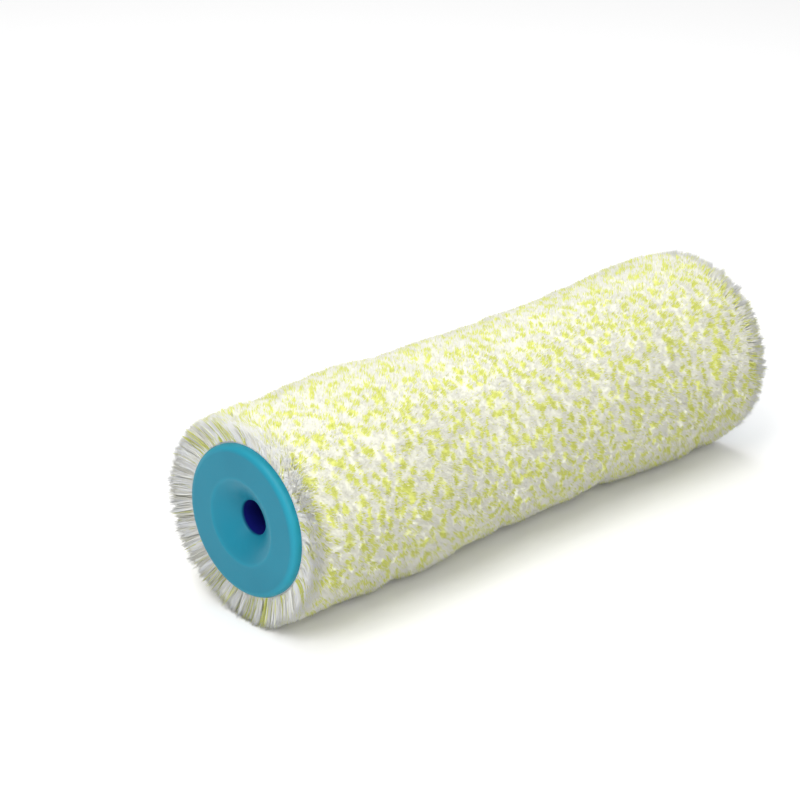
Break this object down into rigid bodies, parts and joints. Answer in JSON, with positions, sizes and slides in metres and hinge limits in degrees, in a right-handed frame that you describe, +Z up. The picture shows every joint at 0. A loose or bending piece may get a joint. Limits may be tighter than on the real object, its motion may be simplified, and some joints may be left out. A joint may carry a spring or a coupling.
{
  "type": "paint roller sleeve",
  "caption": "Paint roller sleeve: pile cover bonded on a wound plastic core, with a moulded cap and rod bore at each end.",
  "frame": {"origin": "on the roller's axis, half way along the core", "axes": "+Y along the roller's axis from the near cap to the far cap, +Z up, away from the flat that the roller lies on"},
  "size_m": [0.0604, 0.1866, 0.0593],
  "materials": {
    "cap_plastic": "moulded polypropylene, satin gloss, turquoise",
    "core_plastic": "extruded strip, plain",
    "bond_film": "hot-melt film, translucent cream",
    "backing_cloth": "knitted ground cloth",
    "pile_white": "cut fibre pile, white",
    "pile_lime": "cut fibre pile, lime flecks"
  },
  "bodies": {
    "root": {"end_cap_near": "cap_plastic", "end_cap_far": "cap_plastic", "core_inner_ply": "core_plastic", "ply_bond_film": "bond_film", "core_outer_ply": "core_plastic", "cover_bond_film": "bond_film", "cover_backing": "backing_cloth", "pile_sleeve": "pile_white"}
  },
  "joints": []
}
